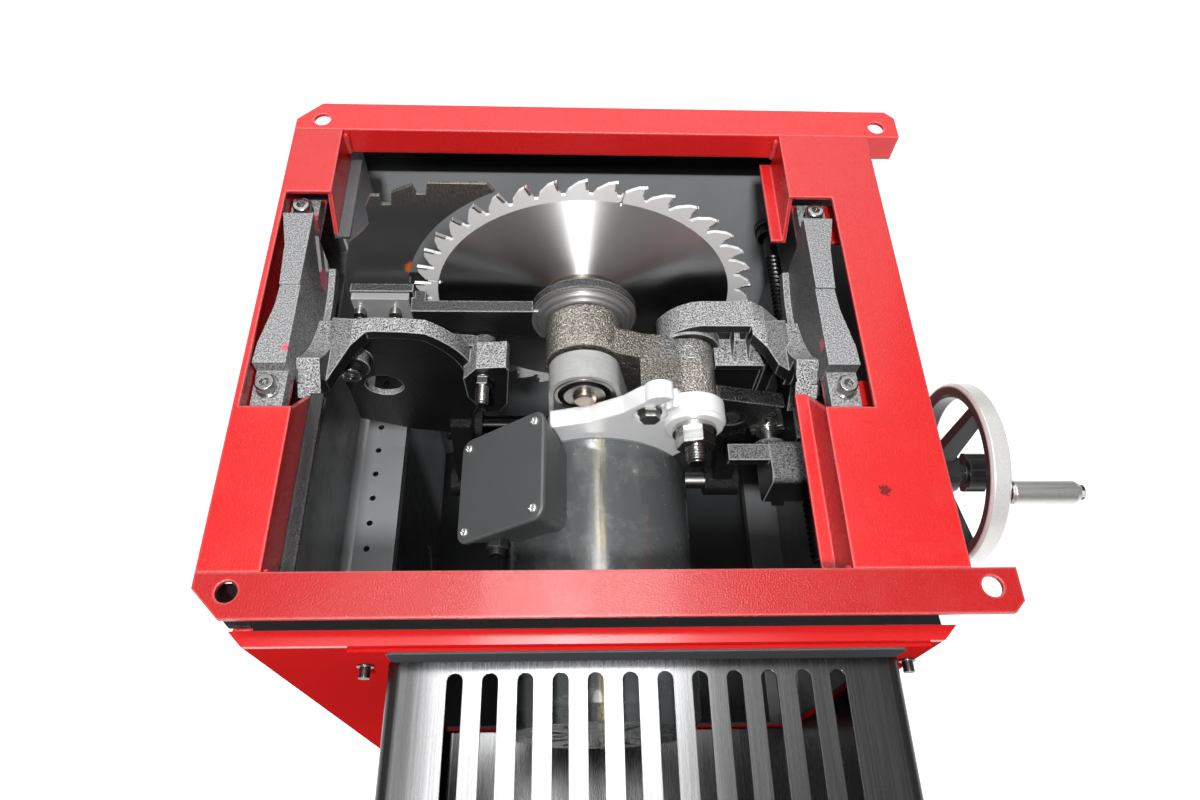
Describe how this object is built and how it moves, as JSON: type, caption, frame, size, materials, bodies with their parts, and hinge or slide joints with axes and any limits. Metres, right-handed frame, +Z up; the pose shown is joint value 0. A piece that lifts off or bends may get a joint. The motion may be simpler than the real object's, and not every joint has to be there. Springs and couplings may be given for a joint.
{
  "type": "circular saw bench",
  "caption": "Cabinet circular saw bench without its table top: welded frame on a cabinet, tilting cradle, raising arm with a belt-driven blade, riving knife, motor and handwheels.",
  "frame": {"origin": "on the floor straight below the arbor axis in the blade's plane", "axes": "+X to the front of the saw along the blade, +Y away from the motor, +Z up"},
  "size_m": [0.614, 0.684, 0.9004],
  "materials": {
    "frame_red": "gloss",
    "inner_dark": "satin",
    "plinth_black": "satin",
    "cover_grey": "satin",
    "black_screw": "satin",
    "zinc_screw": "satin",
    "bracket_grey": "rough",
    "casting_black": "rough",
    "casting_brown": "rough",
    "bright_steel": "brushed",
    "blade_steel": "brushed",
    "knife_black": "satin",
    "belt_rubber": "matte",
    "cast_aluminium": "satin",
    "motor_grey": "gloss",
    "box_grey": "matte",
    "wheel_metal": "satin",
    "grip_black": "gloss"
  },
  "bodies": {
    "cabinet": {"near_rail": "frame_red", "far_rail": "frame_red", "rear_rail": "frame_red", "front_rail": "frame_red", "near_panel": "frame_red", "far_panel": "frame_red", "rear_panel": "frame_red", "front_panel": "frame_red", "base_plinth": "plinth_black", "dust_floor": "inner_dark", "dust_outlet": "inner_dark", "inner_ledges": "inner_dark", "motor_door": "frame_red", "motor_cover": "cover_grey", "door_screws": "black_screw", "rear_bracket": "bracket_grey", "front_bracket": "bracket_grey", "bracket_screws": "black_screw", "tilt_bearing": "inner_dark"},
    "cradle": {"rear_trunnion": "casting_black", "front_trunnion": "casting_black", "tie_rods": "bright_steel", "link_bolt": "black_screw", "lift_gearbox": "casting_black", "pivot_shaft": "bright_steel", "pivot_nut": "zinc_screw"},
    "saw_arm": {"raising_arm": "casting_brown", "arbor_bearings": "bright_steel", "drive_belt": "belt_rubber", "motor_bracket": "cast_aluminium", "tension_bolt": "black_screw", "motor_housing": "motor_grey", "fan_cover": "motor_grey", "terminal_box": "box_grey", "terminal_lid": "box_grey", "lid_screws": "zinc_screw", "cable_gland": "box_grey"},
    "spindle": {"arbor": "bright_steel", "outer_flange": "bright_steel", "arbor_nut": "bright_steel", "saw_blade": "blade_steel", "arbor_pulley": "bright_steel"},
    "motor_rotor": {"motor_shaft": "bright_steel", "motor_pulley": "bright_steel"},
    "knife_holder": {"knife_carrier": "casting_black", "clamp_plate": "bright_steel", "clamp_jaw": "casting_black", "clamp_screws": "black_screw"},
    "knife": {"riving_knife": "knife_black"},
    "knife_link": {"level_link": "casting_black"},
    "pinion": {"lift_pinion": "bright_steel"},
    "lift_drive": {"lift_shaft": "bright_steel", "lift_handwheel": "wheel_metal"},
    "lift_grip": {"lift_handle": "wheel_metal"},
    "lift_knob": {"lift_lock_knob": "grip_black"},
    "tilt_drive": {"tilt_screw": "bright_steel", "tilt_handwheel": "wheel_metal"},
    "tilt_grip": {"tilt_handle": "wheel_metal"},
    "tilt_knob": {"tilt_lock_knob": "grip_black"},
    "tilt_slide": {"tilt_nut": "bright_steel"}
  },
  "joints": [
    {"name": "blade_tilt", "type": "hinge", "parent": "cabinet", "child": "cradle", "pos_m": [0, 0, 0.852], "axis": [1, 0, 0], "range_deg": [0, 45]},
    {"name": "blade_raise", "type": "hinge", "parent": "cradle", "child": "saw_arm", "pos_m": [0.079, 0, 0.762], "axis": [0, 1, 0], "range_deg": [-36, 14]},
    {"name": "arbor_spin", "type": "hinge", "parent": "saw_arm", "child": "spindle", "pos_m": [0, 0, 0.7734], "axis": [0, 1, 0], "continuous": true},
    {"name": "motor_spin", "type": "hinge", "parent": "saw_arm", "child": "motor_rotor", "pos_m": [0.011, 0, 0.672], "axis": [0, 1, 0], "continuous": true},
    {"name": "knife_level", "type": "hinge", "parent": "saw_arm", "child": "knife_holder", "pos_m": [0, 0, 0.7734], "axis": [0, 1, 0], "range_deg": [-14.5, 36.5]},
    {"name": "knife_lift", "type": "slide", "parent": "knife_holder", "child": "knife", "axis": [0, 0, 1], "range_m": [0, 0.018]},
    {"name": "link_swing", "type": "hinge", "parent": "cradle", "child": "knife_link", "pos_m": [-0.076, 0, 0.748], "axis": [0, 1, 0], "range_deg": [-36.5, 14.5]},
    {"name": "pinion_turn", "type": "hinge", "parent": "cradle", "child": "pinion", "pos_m": [0.14649, 0, 0.7087], "axis": [0, 1, 0], "range_deg": [-88, 224]},
    {"name": "lift_turn", "type": "hinge", "parent": "cradle", "child": "lift_drive", "pos_m": [0, -0.115, 0.706], "axis": [1, 0, 0], "range_deg": [-1340, 525]},
    {"name": "lift_grip_spin", "type": "hinge", "parent": "lift_drive", "child": "lift_grip", "pos_m": [0.285, -0.15317, 0.75486], "axis": [1, 0, 0], "continuous": true},
    {"name": "lift_knob_turn", "type": "hinge", "parent": "lift_drive", "child": "lift_knob", "pos_m": [0.285, -0.115, 0.706], "axis": [1, 0, 0], "range_deg": [-180, 0]},
    {"name": "tilt_turn", "type": "hinge", "parent": "cabinet", "child": "tilt_drive", "pos_m": [0.193, 0, 0.642], "axis": [0, 1, 0], "range_deg": [-5, 12600]},
    {"name": "tilt_nut_travel", "type": "slide", "parent": "cabinet", "child": "tilt_slide", "axis": [0, 1, 0], "range_m": [-0.0005, 0.1745]},
    {"name": "tilt_grip_spin", "type": "hinge", "parent": "tilt_drive", "child": "tilt_grip", "pos_m": [0.13474, 0.24, 0.66321], "axis": [0, 1, 0], "continuous": true},
    {"name": "tilt_knob_turn", "type": "hinge", "parent": "tilt_drive", "child": "tilt_knob", "pos_m": [0.193, 0.24, 0.642], "axis": [0, 1, 0], "range_deg": [-180, 0]}
  ],
  "couplings": [
    {"joint": "motor_spin", "follows": "arbor_spin", "ratio": 0.64706},
    {"joint": "knife_level", "follows": "blade_raise", "ratio": -1},
    {"joint": "link_swing", "follows": "blade_raise", "ratio": 1},
    {"joint": "pinion_turn", "follows": "blade_raise", "ratio": -6.1667},
    {"joint": "lift_turn", "follows": "blade_raise", "ratio": 37},
    {"joint": "tilt_nut_travel", "follows": "blade_tilt", "m_per_rad": 0.22151},
    {"joint": "tilt_turn", "follows": "blade_tilt", "ratio": 278.35}
  ]
}
